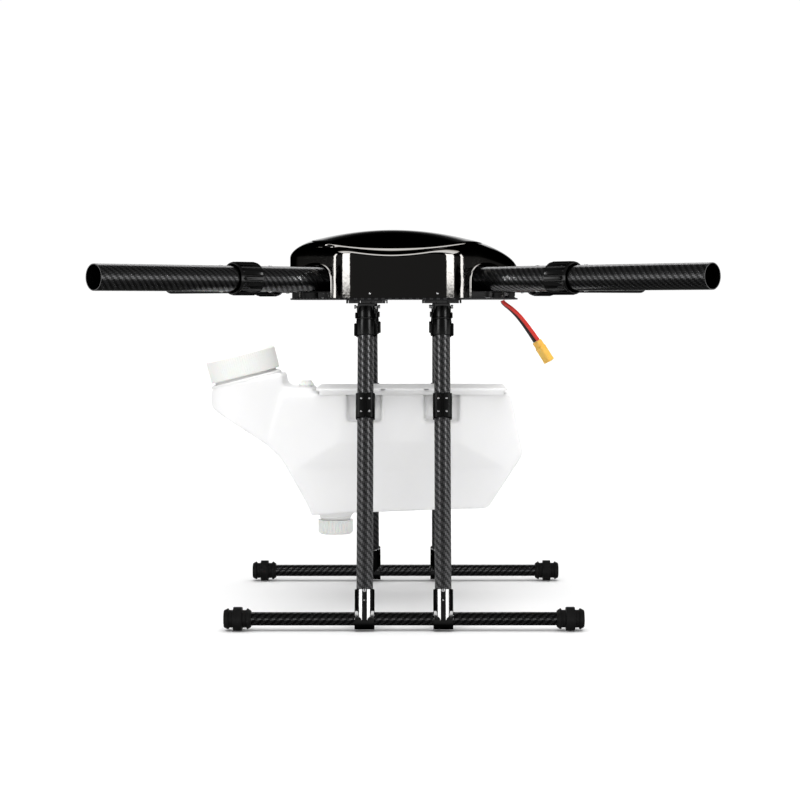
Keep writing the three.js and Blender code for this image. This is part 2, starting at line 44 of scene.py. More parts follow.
# ---------- dimensions of the frame, in millimetres ----------
ARM_Z = 550
ARM_ANGLES = {"rear_right": 45, "rear_left": 135, "front_left": 225, "front_right": 315}
ARM_R = 20
ARM_BORE = 18.5
STUB = (104, 335.7)
ARM_TUBE = (377.8, 637.8)
COLLAR = (330, 377)
COLLAR_R = 26.5
COLLAR_BORE = 21.8
COLLAR_RIBS, RIB_HEIGHT = 20, 1.5
ARM_SCREW_X = (299, 399)
LEG_X = 61.5
LEG_TOP = (150, 510)
SKID_AXIS = (272, 18.5)
LEG_TILT = math.atan2(SKID_AXIS[0] - LEG_TOP[0], LEG_TOP[1] - SKID_AXIS[1])
LEG_LENGTH = math.hypot(SKID_AXIS[0] - LEG_TOP[0], LEG_TOP[1] - SKID_AXIS[1])
LEG_R, LEG_BORE, LEG_ENDS = 13, 11.5, (-490, -14)
SKID_R, SKID_BORE, SKID_HALF = 10.5, 9, 279
RAIL_R, RAIL_BORE, RAIL_HALF, RAIL_Z = 9, 7.5, 172, 346.5
CLAMP_HALF, CLAMP_SEAM = 20, 2.2
CLAMP_SCREW_X, CLAMP_SCREW_Z = 6.4, 10.5
JOINT_TOP = -460.6
JOINT_HALF = 15.5
JOINT_SCREWS = ((-463.5, 2.8), (-479, 1.4))
FOOT_START, FOOT_LENGTH = 238.7, 43
ARCH_HALF, ARCH_TOP = 36.5, 573
TANK_HALF_Y = 90
SPOUT_HALF_Y = 62
TANK_SIDE = [
    (-158, 168), (-157, 157), (-105, 161), (86, 168), (139, 169), (178, 230), (198, 259), (177, 362),
    (-205, 362), (-228, 274), (-205, 252), (-184, 216),
]
SPOUT_SIDE = [
    (-150, 371.5), (-201, 371.5), (-203, 397), (-324, 370), (-328, 358), (-328, 342), (-323, 334),
    (-271, 302), (-228, 274), (-205, 252), (-184, 216), (-150, 200),
]
TANK_SECTION = [(66, 150), (72.5, 236), (90, 281), (90, 380)]
TANK_PLAN = [(-235, 62), (-182, 72), (-108, 90), (93, 90), (171, 72), (200, 65)]
POCKETS = [(-94, -38), (33, 91)]
POCKET_BOTTOM, POCKET_DEPTH = 315, 15
TUNNEL = (12, 334.5, 358.5)
TANK_TOP = 362
FLANGE_X = (-146, 170)
FLANGE_HALF_Y = 95
FLANGE_LOW, FLANGE_HIGH = 360.5, 371
SLOT_X = (-35, 37)
SPOUT_END_X = -266
FILLER_X = -268.5
FILLER_Z = 386
FILLER_TILT = math.atan2(28, 112)
OUTLET_X = -117.5
BREATHER_X, BREATHER_Z = -166, 371.8
LEG_PLACES = {"front_left": (-1, -1), "front_right": (1, -1), "rear_left": (-1, 1), "rear_right": (1, 1)}
TOW = 2.75                        # width of one tow of the carbon weave


# ---------- camera, stage and light ----------
CAMERA_PLACE, CAMERA_LENS = (0.0167, -3.25, 0.5115), 86.3
CAMERA_PITCH, CAMERA_ROLL, CAMERA_YAW = -0.0505, 0.0016, 0.0074
HUB_MIDDLE = Vector((0, 0, 0.55))
FLOOR_HALF = 60
HORIZON_BAND = (0.165, 0.25)
STUDIO_BRIGHT, STUDIO_DARK = 1.02, 0.1


def make_camera():
    lens = bpy.data.cameras.new("camera")
    lens.lens = CAMERA_LENS
    camera = bpy.data.objects.new("camera", lens)
    camera.location = CAMERA_PLACE
    camera.rotation_euler = (math.pi / 2 + CAMERA_PITCH, CAMERA_ROLL, CAMERA_YAW)
    bpy.context.scene.collection.objects.link(camera)
    bpy.context.scene.camera = camera


def receivers(group):
    """The collection of pieces that a group's own lights shine on."""
    return bpy.data.collections.get(group) or bpy.data.collections.new(group)


def light_only(light, group):
    light.light_linking.receiver_collection = receivers(group)
    light.light_linking.blocker_collection = receivers(group)


def softbox(name, place, size, radiance, group):
    """A rectangle of light that shows only as a reflection, and only on one group of pieces."""
    data = bpy.data.lights.new(name, "AREA")
    data.shape = "RECTANGLE"
    data.size, data.size_y = size
    data.energy = radiance * math.pi * size[0] * size[1]
    light = bpy.data.objects.new(name, data)
    light.location = place
    aim = HUB_MIDDLE - Vector(place)
    light.rotation_euler = aim.to_track_quat("-Z", "Y").to_euler()
    light.visible_camera = False
    light.visible_diffuse = False
    light.visible_transmission = False
    light_only(light, group)
    bpy.context.scene.collection.objects.link(light)


def sun(name, angle_from, strength, softness, group=None):
    """A broad soft light from (azimuth, elevation) in degrees, with 0 the front, on all or on one group."""
    data = bpy.data.lights.new(name, "SUN")
    data.energy = strength
    data.angle = math.radians(softness)
    light = bpy.data.objects.new(name, data)
    azimuth, elevation = (math.radians(a) for a in angle_from)
    toward = Vector((math.sin(azimuth) * math.cos(elevation), -math.cos(azimuth) * math.cos(elevation),
                     math.sin(elevation)))
    light.rotation_euler = (-toward).to_track_quat("-Z", "Y").to_euler()
    light.visible_glossy = False
    if group:
        light_only(light, group)
    bpy.context.scene.collection.objects.link(light)


def make_world():
    """A white band round the horizon, and a dark studio above and below it."""
    world = bpy.data.worlds.new("studio")
    bpy.context.scene.world = world
    world.use_nodes = True
    tree = world.node_tree
    split = tree.nodes.new("ShaderNodeSeparateXYZ")
    fade = tree.nodes.new("ShaderNodeMapRange")
    fade.interpolation_type = "SMOOTHSTEP"
    place = tree.nodes.new("ShaderNodeTexCoord")
    tree.links.new(place.outputs["Generated"], split.inputs[0])
    height = tree.nodes.new("ShaderNodeMath")
    height.operation = "ABSOLUTE"
    tree.links.new(split.outputs["Z"], height.inputs[0])
    tree.links.new(height.outputs[0], fade.inputs["Value"])
    levels = (*HORIZON_BAND, STUDIO_BRIGHT, STUDIO_DARK)
    for socket, value in zip(("From Min", "From Max", "To Min", "To Max"), levels):
        fade.inputs[socket].default_value = value
    tree.links.new(fade.outputs["Result"], tree.nodes["Background"].inputs["Strength"])
    tree.nodes["Background"].inputs["Color"].default_value = (1, 1, 1, 1)


def make_stage():
    bpy.context.scene.view_settings.view_transform = "Standard"
    make_world()
    mesh = bpy.data.meshes.new("floor")
    corners = [(x * FLOOR_HALF, y * FLOOR_HALF, 0) for x, y in ((-1, -1), (1, -1), (1, 1), (-1, 1))]
    mesh.from_pydata(corners, [], [(0, 1, 2, 3)])
    floor = bpy.data.objects.new("floor", mesh)
    floor.location.z = -0.0005
    floor.data.materials.append(
        painted("floor_paint", grey(0.95), 0.9, (1.5, 3, grey(0.94), grey(0.96)), Specular_IOR_Level=0.0))
    bpy.context.scene.collection.objects.link(floor)
    floor.visible_glossy = False
    for side in (-1, 1):
        softbox(f"box_front_{side}", (side * 1.75, -2.5, 1.29), (1.6, 1.5), 105, "gloss")
        softbox(f"box_flank_{side}", (side * 3.1, -0.42, 1.05), (0.42, 1.5), 105, "gloss")
        softbox(f"box_back_{side}", (side * 2.5, 1.6, 1.45), (1.3, 1.7), 105, "gloss")
        softbox(f"box_leg_{side}", (side * 2.1, -1.9, 1.95), (0.9, 1.7), 4, "tubes")
    softbox("box_overhead", (0, -0.6, 2.6), (4.6, 2.2), 60, "gloss")
    softbox("box_behind", (0, 2.4, 2.3), (2.6, 1.3), 2.6, "tubes")
    sun("above", (0, 80), 2.65, 70)
    sun("front_key", (-6, 30), 1.05, 70)
    sun("back_key", (160, 32), 0.75, 70)
    sun("tank_top", (0, 85), 1.5, 30, "tank")


# ---------- materials ----------
class Nodes:
    """A material's node tree, with short calls for the nodes used here."""

    def __init__(self, name, color, roughness, **sockets):
        self.material = bpy.data.materials.new(name)
        self.material.use_nodes = True
        self.tree = self.material.node_tree
        self.shader = self.tree.nodes["Principled BSDF"]
        self.set("Base Color", (*color, 1))
        self.set("Roughness", roughness)
        for socket, value in sockets.items():
            self.set(socket.replace("_", " "), value)

    def set(self, socket, value):
        self.shader.inputs[socket].default_value = value

    def link(self, source, target):
        self.tree.links.new(source, target)

    def node(self, kind, **settings):
        made = self.tree.nodes.new(kind)
        for key, value in settings.items():
            setattr(made, key, value)
        return made

    def math(self, operation, a, b=None):
        made = self.node("ShaderNodeMath", operation=operation)
        for socket, value in zip(made.inputs, (a, b)):
            if isinstance(value, (int, float)):
                socket.default_value = value
            elif value is not None:
                self.link(value, socket)
        return made.outputs[0]

    def remap(self, value, low, high):
        made = self.node("ShaderNodeMapRange")
        self.link(value, made.inputs["Value"])
        made.inputs["To Min"].default_value, made.inputs["To Max"].default_value = low, high
        return made.outputs["Result"]

    def noise(self, scale, detail, vector=None):
        made = self.node("ShaderNodeTexNoise")
        made.inputs["Scale"].default_value = scale
        made.inputs["Detail"].default_value = detail
        self.link(vector or self.place(), made.inputs["Vector"])
        return made.outputs["Fac"]

    def place(self):
        return self.node("ShaderNodeTexCoord").outputs["Object"]

    def uv(self):
        return self.node("ShaderNodeUVMap", uv_map="UVMap").outputs["UV"]

    def mix(self, fac, low, high):
        made = self.node("ShaderNodeMix", data_type="RGBA")
        self.link(fac, made.inputs["Factor"])
        made.inputs["A"].default_value = (*low, 1)
        made.inputs["B"].default_value = (*high, 1)
        return made.outputs["Result"]

    def colour(self, source):
        self.link(source, self.shader.inputs["Base Color"])

    def rough(self, source):
        self.link(source, self.shader.inputs["Roughness"])

    def bump(self, height, distance, strength=1.0):
        made = self.node("ShaderNodeBump")
        made.inputs["Distance"].default_value = distance
        made.inputs["Strength"].default_value = strength
        self.link(height, made.inputs["Height"])
        before = self.shader.inputs["Normal"]
        if before.is_linked:
            self.link(before.links[0].from_socket, made.inputs["Normal"])
        self.link(made.outputs["Normal"], before)


def painted(name, base, roughness, tones=None, polish=None, bumps=(), **sockets):
    """A material varied by noise. tones and polish are (scale, detail, low, high), for colour and roughness;
    bumps are (scale, detail, distance) or (scale, detail, distance, strength)."""
    n = Nodes(name, base, roughness, **sockets)
    if tones:
        scale, detail, low, high = tones
        n.colour(n.mix(n.noise(scale, detail), low, high))
    if polish:
        scale, detail, low, high = polish
        n.rough(n.remap(n.noise(scale, detail), low, high))
    for scale, detail, *push in bumps:
        n.bump(n.noise(scale, detail), *push)
    return n.material


def grey(shade):
    return (shade,) * 3


def satin_black(name, shade, roughness):
    """Black metal or moulding whose look is all reflection, with a fine grain."""
    return painted(name, grey(shade), roughness, (30, 5, grey(shade * 0.8), grey(shade * 1.25)),
                   (70, 4, roughness - 0.05, roughness + 0.07), [(900, 2, 0.00003)],
                   Metallic=1.0, Specular_Tint=(0.1, 0.1, 0.1, 1))


def twill(name, dark, light, roughness, coat, lean=1, flat=False):
    """Two-over-two twill: each tow passes over two and under two, one step further each row. The tows on top
    are painted lighter, most along their crowns, as a painted glint.
    """
    n = Nodes(name, dark, roughness, Metallic=1.0, Coat_Weight=coat, Coat_Roughness=0.15)
    n.set("Specular Tint", (0.25, 0.25, 0.25, 1))
    scaled = n.node("ShaderNodeVectorMath", operation="SCALE")
    n.link(n.place() if flat else n.uv(), scaled.inputs[0])
    scaled.inputs["Scale"].default_value = 1 / (TOW * MM)
    split = n.node("ShaderNodeSeparateXYZ")
    n.link(scaled.outputs[0], split.inputs[0])
    across, along = split.outputs["X"], split.outputs["Y"]
    step = n.math("SUBTRACT" if lean > 0 else "ADD", n.math("FLOOR", across), n.math("FLOOR", along))
    phase = n.math("FLOORED_MODULO", step, 4)
    over = n.math("LESS_THAN", phase, 2)
    crown_x = n.math("SINE", n.math("MULTIPLY", n.math("FRACT", across), math.pi))
    crown_y = n.math("SINE", n.math("MULTIPLY", n.math("FRACT", along), math.pi))
    warp = n.math("MULTIPLY", crown_x, over)
    weft = n.math("MULTIPLY", crown_y, n.math("SUBTRACT", 1, over))
    crown = n.math("POWER", n.math("ADD", warp, weft), 0.6)
    stretch = n.node("ShaderNodeMapping")
    stretch.inputs["Scale"].default_value = (9, 0.7, 1)
    n.link(scaled.outputs[0], stretch.inputs["Vector"])
    fibre = n.noise(1, 2, stretch.outputs["Vector"])
    # painted glint: the tows on top take the lighter colour, brightest along their crowns, while the tows
    # beneath and the grooves between them stay dark as painted shade; only the twill pattern of the cells is
    # the cloth's own
    lit = n.math("MULTIPLY", over, crown)
    tone = n.math("MULTIPLY", lit, n.remap(fibre, 0.5, 1.2))
    n.colour(n.mix(tone, dark, light))
    n.rough(n.remap(over, roughness + 0.12, roughness - 0.06))
    n.bump(crown, 0.00012, 0.5)
    return n.material


def silicone(name, low, high):
    return painted(name, low, 0.33, (150, 4, low, high), (90, 3, 0.26, 0.42), [(1800, 2, 0.00002)],
                   Specular_IOR_Level=0.5, Coat_Weight=0.25, Coat_Roughness=0.2)


LOOK = {
    "gloss": painted("gloss_black", (0.0105, 0.0102, 0.0098), 0.06, None, (45, 4, 0.035, 0.085),
                     [(260, 2, 0.00004)], Metallic=1.0, Specular_Tint=(0.05, 0.05, 0.05, 1)),
    "anodised": satin_black("anodised_black", 0.011, 0.17),
    "collar": satin_black("collar_black", 0.08, 0.17),
    "moulded": satin_black("moulded_black", 0.035, 0.24),
    "arm": twill("arm_twill", (0.022, 0.022, 0.0225), (0.19, 0.19, 0.194), 0.3, 0.6),
    "leg": twill("leg_twill", (0.042, 0.042, 0.043), (0.17, 0.17, 0.174), 0.36, 0.3, -1),
    "skid": twill("skid_twill", (0.009, 0.009, 0.0095), (0.12, 0.12, 0.122), 0.3, 0.3, -1),
    "plate": twill("plate_twill", (0.010, 0.010, 0.011), (0.05, 0.05, 0.052), 0.35, 0.2, 1, True),
    "cut": painted("cut_carbon", grey(0.16), 0.4, (900, 3, grey(0.10), grey(0.22)), (300, 3, 0.3, 0.5),
                   Metallic=1.0),
    "rubber": painted("foot_rubber", grey(0.006), 0.5, (60, 6, grey(0.004), (0.009, 0.009, 0.0088)),
                      (120, 4, 0.4, 0.6), [(1500, 3, 0.00008)], Specular_IOR_Level=0.16),
    "tank": painted("tank_plastic", (0.86, 0.865, 0.875), 0.42,
                    (7, 4, (0.803, 0.804, 0.808), (0.89, 0.888, 0.887)), (24, 5, 0.34, 0.52),
                    [(14, 2, 0.0006, 0.35), (900, 2, 0.00004)], Specular_IOR_Level=0.3, IOR=1.45,
                    Subsurface_Weight=0.35, Subsurface_Scale=0.02, Subsurface_Radius=(1.0, 1.0, 1.1)),
    "cap": painted("cap_plastic", (0.83, 0.825, 0.805), 0.38,
                   (22, 4, (0.80, 0.795, 0.775), (0.87, 0.865, 0.845)), (40, 4, 0.3, 0.48),
                   [(700, 2, 0.00004)], Specular_IOR_Level=0.35,
                   Subsurface_Weight=0.25, Subsurface_Scale=0.01),
    "steel": painted("screw_steel", grey(0.78), 0.25, (400, 3, (0.62, 0.62, 0.63), grey(0.85)),
                     (600, 3, 0.16, 0.36), Metallic=1.0),
    "red": silicone("wire_red", (0.62, 0.022, 0.014), (0.76, 0.04, 0.025)),
    "black": silicone("wire_black", grey(0.010), grey(0.020)),
    "nylon": painted("connector_nylon", (0.92, 0.55, 0.09), 0.36,
                     (90, 4, (0.88, 0.48, 0.06), (0.96, 0.62, 0.14)), (120, 3, 0.34, 0.5),
                     [(1600, 2, 0.00003)], Subsurface_Weight=0.2, Subsurface_Scale=0.004),
    "board": painted("board_green", (0.02, 0.08, 0.03), 0.4,
                     (80, 5, (0.012, 0.05, 0.02), (0.03, 0.12, 0.05)), None, [(300, 3, 0.0002)]),
}
# which group of lights shines on a look; any other look has only the lights that shine on everything
LIT_AS = {"gloss": "gloss", "anodised": "gloss", "steel": "tubes", "moulded": "tubes", "arm": "tubes",
          "leg": "tubes", "skid": "tubes", "collar": "tubes", "tank": "tank", "cap": "tank"}


# ---------- building meshes ----------
def smooth_corners(points, radius, steps=3, closed=False):
    """The same outline with each corner replaced by a small curve."""
    count = len(points)
    made = []
    for i, corner in enumerate(points):
        if not closed and i in (0, count - 1):
            made.append(tuple(corner))
            continue
        here = Vector(corner)
        before, after = Vector(points[i - 1]), Vector(points[(i + 1) % count])
        reach = min(radius, 0.49 * (before - here).length, 0.49 * (after - here).length)
        start = here + (before - here).normalized() * reach
        end = here + (after - here).normalized() * reach
        for k in range(steps + 1):
            t = k / steps
            made.append(tuple((1 - t) ** 2 * start + 2 * t * (1 - t) * here + t * t * end))
    return made


def offset_outline(points, distance):
    """A counter-clockwise outline moved inwards, or outwards if distance is negative."""
    count = len(points)
    made = []
    for i, corner in enumerate(points):
        here = Vector(corner[:2])
        a = (here - Vector(points[i - 1][:2])).normalized()
        b = (Vector(points[(i + 1) % count][:2]) - here).normalized()
        normal = Vector((-a.y - b.y, a.x + b.x)).normalized()
        reach = distance / max(0.2, normal.dot(Vector((-b.y, b.x))))
        made.append(tuple(here + normal * reach))
    return made


def box_outline(a0, a1, b0, b1):
    return [(a0, b0), (a1, b0), (a1, b1), (a0, b1)]


class Piece:
    """One mesh in one material, made of grids of points given in millimetres."""

    def __init__(self, name, look, body=ROOT):
        self.name, self.looks, self.body = name, [look], body
        self.mesh = bmesh.new()
        self.uv = self.mesh.loops.layers.uv.new("UVMap")

    def grid(self, rows, matrix=Matrix(), wrap=True, loop=False, ends=False, girth=None):
        """Joins rows of points by faces. wrap closes each row, loop joins the last row to the first."""
        made = [[self.mesh.verts.new(matrix @ (Vector(p) * MM)) for p in row] for row in rows]
        count = len(rows[0])
        lengths = [0.0]
        for one, two in zip(made, made[1:] + made[:1]):
            lengths.append(lengths[-1] + (one[0].co - two[0].co).length)
        girth = girth or sum((made[0][j].co - made[0][j - 1].co).length for j in range(count))
        for i in range(len(rows) if loop else len(rows) - 1):
            low, high = made[i], made[(i + 1) % len(made)]
            for j in range(count if wrap else count - 1):
                k = (j + 1) % count
                self.face([low[j], low[k], high[k], high[j]],
                          [(girth * j / count, lengths[i]), (girth * (j + 1) / count, lengths[i]),
                           (girth * (j + 1) / count, lengths[i + 1]), (girth * j / count, lengths[i + 1])])
        if ends:
            self.face(list(reversed(made[0])), None)
            self.face(made[-1], None)

    def face(self, corners, uvs):
        face = self.mesh.faces.new(corners)
        for loop, place in zip(face.loops, uvs or [c.co.xy for c in corners]):
            loop[self.uv].uv = place

    def lathe(self, profile, matrix=Matrix(), sides=48, loop=False, wave=None, girth=None):
        """Turns (radius, height) points about local Z. wave(angle, radius, height) alters a radius."""
        rows = []
        for radius, height in profile:
            row = []
            for j in range(sides):
                turn = 2 * math.pi * j / sides
                reach = wave(turn, radius, height) if wave else radius
                row.append((reach * math.cos(turn), reach * math.sin(turn), height))
            rows.append(row)
        self.grid(rows, matrix, loop=loop, girth=girth)

    def prism(self, outline, low, high, matrix=Matrix(), bevel=0.6):
        """A flat outline given a thickness, with its top and bottom edges eased."""
        inner = offset_outline(outline, bevel)
        levels = [(inner, low), (outline, low + bevel), (outline, high - bevel), (inner, high)]
        self.grid([[(x, y, z) for x, y in points] for points, z in levels], matrix, ends=True)

    def block(self, size, centre, matrix=Matrix(), bevel=0.8, corner=1.2):
        """A box with eased edges."""
        half_x, half_y, half_z = (s / 2 for s in size)
        x, y, z = centre
        outline = smooth_corners(box_outline(x - half_x, x + half_x, y - half_y, y + half_y), corner, 2, True)
        self.prism(outline, z - half_z, z + half_z, matrix, bevel)

    def trim(self, look, axis):
        """Gives the faces that look along an axis a second material."""
        self.looks.append(look)
        for face in self.mesh.faces:
            face.normal_update()
            if abs(face.normal.dot(axis)) > 0.9:
                face.material_index = 1

    def bare(self):
        """Makes the object without a look."""
        bmesh.ops.remove_doubles(self.mesh, verts=self.mesh.verts, dist=1e-6)
        bmesh.ops.recalc_face_normals(self.mesh, faces=self.mesh.faces)
        data = bpy.data.meshes.new(self.name)
        self.mesh.to_mesh(data)
        self.mesh.free()
        made = bpy.data.objects.new(self.name, data)
        bpy.context.scene.collection.objects.link(made)
        return made

    def done(self, slot, *nodes, sharp=32):
        return dress(self.bare(), self.looks, self.body, nodes, sharp)


def dress(made, looks, body, nodes, sharp):
    """Gives an object its materials; it rides on a body and stands for the CAD nodes named."""
    data = made.data
    data.polygons.foreach_set("use_smooth", [True] * len(data.polygons))
    if sharp < 180:
        data.set_sharp_from_angle(angle=math.radians(sharp))
    for look in looks:
        data.materials.append(LOOK[look])
    receivers(LIT_AS.get(looks[0], "rest")).objects.link(made)
    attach(made, body)
    if nodes:
        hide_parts(*nodes)
    return made


def shift(x, y, z):
    return Matrix.Translation(Vector((x, y, z)) * MM)


def turn(degrees, axis):
    return Matrix.Rotation(math.radians(degrees), 4, axis)


ALONG_X = turn(90, "Y")


def screw(piece, matrix, radius=2.6, height=1.6):
    """A button-head screw with a hexagon socket, its head along the local Z axis."""
    socket = radius * 0.5
    dome = [(0, height * 0.35), (socket * 0.98, height * 0.35), (socket, height * 0.92)]
    dome += [(radius * math.sin(a), height * (0.35 + 0.65 * math.cos(a))) for a in (0.75, 1.05, 1.35, 1.57)]
    dome += [(radius, 0), (radius * 0.9, -0.3)]

    def hexagon(angle, reach, _):
        if reach > socket * 1.01:
            return reach
        return reach * 0.87 / math.cos((angle % (math.pi / 3)) - math.pi / 6)

    piece.lathe(dome, matrix, sides=24, wave=hexagon)


# ---------- tubes ----------
def tube(name, look, slot, outer, bore, low, high, matrix, body, node):
    piece = Piece(name, look, body)
    edge = 0.25
    profile = [(bore, low + edge), (bore + edge, low), (outer - edge, low), (outer, low + edge),
               (outer, high - edge), (outer - edge, high), (bore + edge, high), (bore, high - edge)]
    tows = round(2 * math.pi * outer / TOW / 4) * 4
    piece.lathe(profile, matrix, sides=64, loop=True, girth=tows * TOW * MM)
    piece.trim("cut", matrix.to_3x3() @ Vector((0, 0, 1)))
    return piece.done(slot, node)


# ---------- folding arms ----------
def arm_matrix(place):
    return shift(0, 0, ARM_Z) @ turn(ARM_ANGLES[place], "Z")


def lock_collar(place, frame_at):
    """A ribbed sleeve with plain bevelled rims."""
    low, high = COLLAR
    piece = Piece(f"collar_{place}", "collar", f"locking_collar_{place}")
    rim = 4.5
    outer = [(COLLAR_BORE, low + 1), (COLLAR_BORE + 1, low), (COLLAR_R - 2.6, low), (COLLAR_R - 0.9, low + 2)]
    outer += [(COLLAR_R - 0.9, low + rim), (COLLAR_R, low + rim + 1.2), (COLLAR_R, high - rim - 1.2)]
    outer += [(COLLAR_R - 0.9, high - rim), (COLLAR_R - 0.9, high - 2), (COLLAR_R - 2.6, high)]
    outer += [(COLLAR_BORE + 1.6, high), (COLLAR_BORE, high - 2)]

    def ribbed(angle, reach, _):
        if reach < COLLAR_R - 0.5:
            return reach
        along = abs((angle * COLLAR_RIBS / (2 * math.pi)) % 1 - 0.5)
        return reach - RIB_HEIGHT * smoothstep(along, 0.1, 0.24)

    piece.lathe(outer, frame_at @ ALONG_X, sides=240, loop=True, wave=ribbed)
    piece.done("anodised", f"lock_collar_{place}", sharp=28)


def arm_screws(place, frame_at):
    for end, body in zip(ARM_SCREW_X, (ROOT, f"folding_arm_{place}")):
        piece = Piece(f"arm_screws_{place}_{end}", "steel", body)
        for flip in (0, 180):
            screw(piece, frame_at @ turn(flip, "X") @ shift(end, 0, ARM_R - 0.2), 3.2, 1.6)
        piece.done("anodised")


def build_arm(place):
    frame_at = arm_matrix(place)
    moving = f"folding_arm_{place}"
    along = frame_at @ ALONG_X
    tube(f"arm_{place}", "arm", "carbon_arm", ARM_R, ARM_BORE, *ARM_TUBE, along, moving, f"arm_tube_{place}")
    tube(f"stub_{place}", "arm", "carbon_arm", ARM_R, ARM_BORE, *STUB, along, ROOT, f"stub_tube_{place}")
    lock_collar(place, frame_at)
    arm_screws(place, frame_at)


# ---------- legs and skids ----------
def leg_matrix(place):
    side_x, side_y = LEG_PLACES[place]
    return shift(side_x * LEG_X, side_y * LEG_TOP[0], LEG_TOP[1]) @ Matrix.Rotation(side_y * LEG_TILT, 4, "X")


def build_leg(place):
    frame_at = leg_matrix(place)
    side_y = LEG_PLACES[place][1]
    level = Matrix.Rotation(-side_y * LEG_TILT, 4, "X")
    tube(f"leg_{place}", "leg", "carbon_leg", LEG_R, LEG_BORE, *LEG_ENDS, frame_at, ROOT, f"leg_tube_{place}")
    leg_mount(place, frame_at, level, side_y)
    leg_clamp(place, frame_at, level, side_y)
    skid_joint(place, frame_at, level, side_y)


def leg_mount(place, frame_at, level, side_y):
    """A ribbed flange under the hub, a cross bolt and a two-part socket round the leg."""
    piece = Piece(f"mount_{place}", "moulded")
    upright = frame_at @ level
    piece.block((62, 44, 1.6), (0, -2 * side_y, 6.4), upright, 0.3, 5)
    for low, high in ((0, 8), (10, 16), (18, 27), (29, 31)):
        for side in (-1, 1):
            piece.block((high - low, 42, 5), (side * (low + high) / 2, -2 * side_y, 3.6), upright, 0.3, 0.5)
    piece.block((26, 24, 16), (0, 0, -6), upright, 1.5, 4)
    piece.lathe(smooth_corners([(0, -6), (14.4, -6), (14.6, -24), (15.3, -26), (14.6, -27.2), (15.4, -28.4),
                                (15.5, -53.6), (13.3, -53.6), (13.3, -30), (0, -30)], 0.7), frame_at)
    for side in (-1, 1):
        piece.block((4.2, 9, 20), (side * 16.6, 0, -42.5), frame_at, 1.2, 1.6)
        piece.block((3.0, 8, 9), (side * 15.6, 0, -19), frame_at, 1.0, 1.2)
    piece.done("moulded", f"leg_mount_{place}")
    bolt = Piece(f"mount_bolt_{place}", "steel")
    across = upright @ shift(0, 0, -4.6) @ ALONG_X
    bolt.lathe(smooth_corners([(0, -18.6), (3.1, -18.6), (3.1, -15.4), (1.9, -15.4), (1.9, 14.5), (3.2, 14.5),
                               (3.2, 18), (0, 18)], 0.4), across, sides=24)
    bolt.done("anodised")


def leg_clamp(place, frame_at, level, side_y):
    """Two shells round the leg with a seam down the middle, drawn together by four screws."""
    piece = Piece(f"clamp_{place}", "moulded")
    middle = -(LEG_TOP[1] - RAIL_Z) / math.cos(LEG_TILT)
    bore = LEG_R + 0.25
    turns = [math.radians(a) for a in range(80, -81, -8)]
    for side in (-1, 1):
        arc = [(side * bore * math.cos(a), bore * math.sin(a)) for a in turns]
        shell = [(side * x, y) for x, y in ((CLAMP_SEAM, -15.9), (10.6, -14.6), (15.2, -9), (15.2, 9),
                                            (10.6, 14.6), (CLAMP_SEAM, 15.9))]
        outline = smooth_corners(shell, 0.7, 2) + arc
        if side < 0:
            outline.reverse()
        piece.prism(outline, middle - CLAMP_HALF, middle + CLAMP_HALF, frame_at, 0.35)
    piece.block((2 * CLAMP_SEAM + 2, 29.4, 37), (0, 0, middle), frame_at, 0.4, 0.6)
    boss = frame_at @ level @ shift(0, 0, RAIL_Z - LEG_TOP[1]) @ turn(90 * side_y, "X")
    piece.lathe(smooth_corners([(9.3, -20), (12, -20), (12, 0), (9.3, 0)], 0.8, 3, True), boss, loop=True)
    piece.done("anodised", f"leg_clamp_{place}")
    screws = Piece(f"clamp_screws_{place}", "steel")
    lean = math.atan2(1.3, 10.6 - CLAMP_SEAM)
    for face in (-1, 1):
        for side in (-1, 1):
            for z in (-CLAMP_SCREW_Z, CLAMP_SCREW_Z):
                at = frame_at @ shift(side * CLAMP_SCREW_X, face * 15.1, middle + z) @ turn(-90 * face, "X")
                screw(screws, at @ Matrix.Rotation(lean * side, 4, "Y"), 1.7, 1.0)
    screws.done("anodised")


def skid_joint(place, frame_at, level, side_y):
    """A faceted sleeve that grips the leg and the skid tube."""
    piece = Piece(f"tee_{place}", "anodised")
    quarter = [(JOINT_HALF, 4.5), (8.9, 14), (3.9, 15.7)]
    half = quarter + [(-x, y) for x, y in reversed(quarter)]
    outline = smooth_corners(half + [(-x, -y) for x, y in half], 0.5, 2, True)
    piece.prism(outline, -LEG_LENGTH - 4, JOINT_TOP, frame_at, 1.0)
    axis = frame_at @ shift(0, 0, -LEG_LENGTH) @ level @ ALONG_X
    base = [(-14, -8), (-14, 8), (-2, 15.6), (8, 16), (15.6, 9), (15.6, -9), (8, -16), (-2, -15.6)]
    piece.prism(smooth_corners(base, 1.5, 2, True), -JOINT_HALF, JOINT_HALF, axis, 0.8)
    piece.done("anodised", f"skid_joint_{place}")
    screws = Piece(f"tee_screws_{place}", "steel")
    for drop, radius in JOINT_SCREWS:
        at = frame_at @ shift(0, 0, drop) @ turn(-90 * side_y, "X") @ shift(0, 0, JOINT_HALF)
        screw(screws, at, radius, 1.2)
    screws.done("anodised")


def foot(end, side_y, flank, side_x):
    piece = Piece(f"rubber_foot_{end}_{flank}", "rubber")
    start, bore = FOOT_START, SKID_R + 0.1
    rings = [(0, 12.6), (5.6, 16.4), (7, 16), (7.6, 13.8), (14.2, 13.8), (14.2, 18.5), (28.2, 18.5),
             (28.2, 13.8), (34.8, 13.8), (35.4, 16), (36.8, 16.4), (FOOT_LENGTH, 13.2)]
    profile = [(bore, start)] + [(r, start + x) for x, r in rings] + [(0, start + FOOT_LENGTH)]
    profile = smooth_corners(profile, 1.2, 3)
    at = shift(0, side_y * SKID_AXIS[0], SKID_AXIS[1]) @ turn(90 * side_x, "Y")
    inside = start + FOOT_LENGTH - 2.5
    piece.lathe(profile + [(0, inside), (bore, inside), (bore, start)], at, sides=72)
    piece.done("foot_rubber", f"foot_{end}_{flank}")


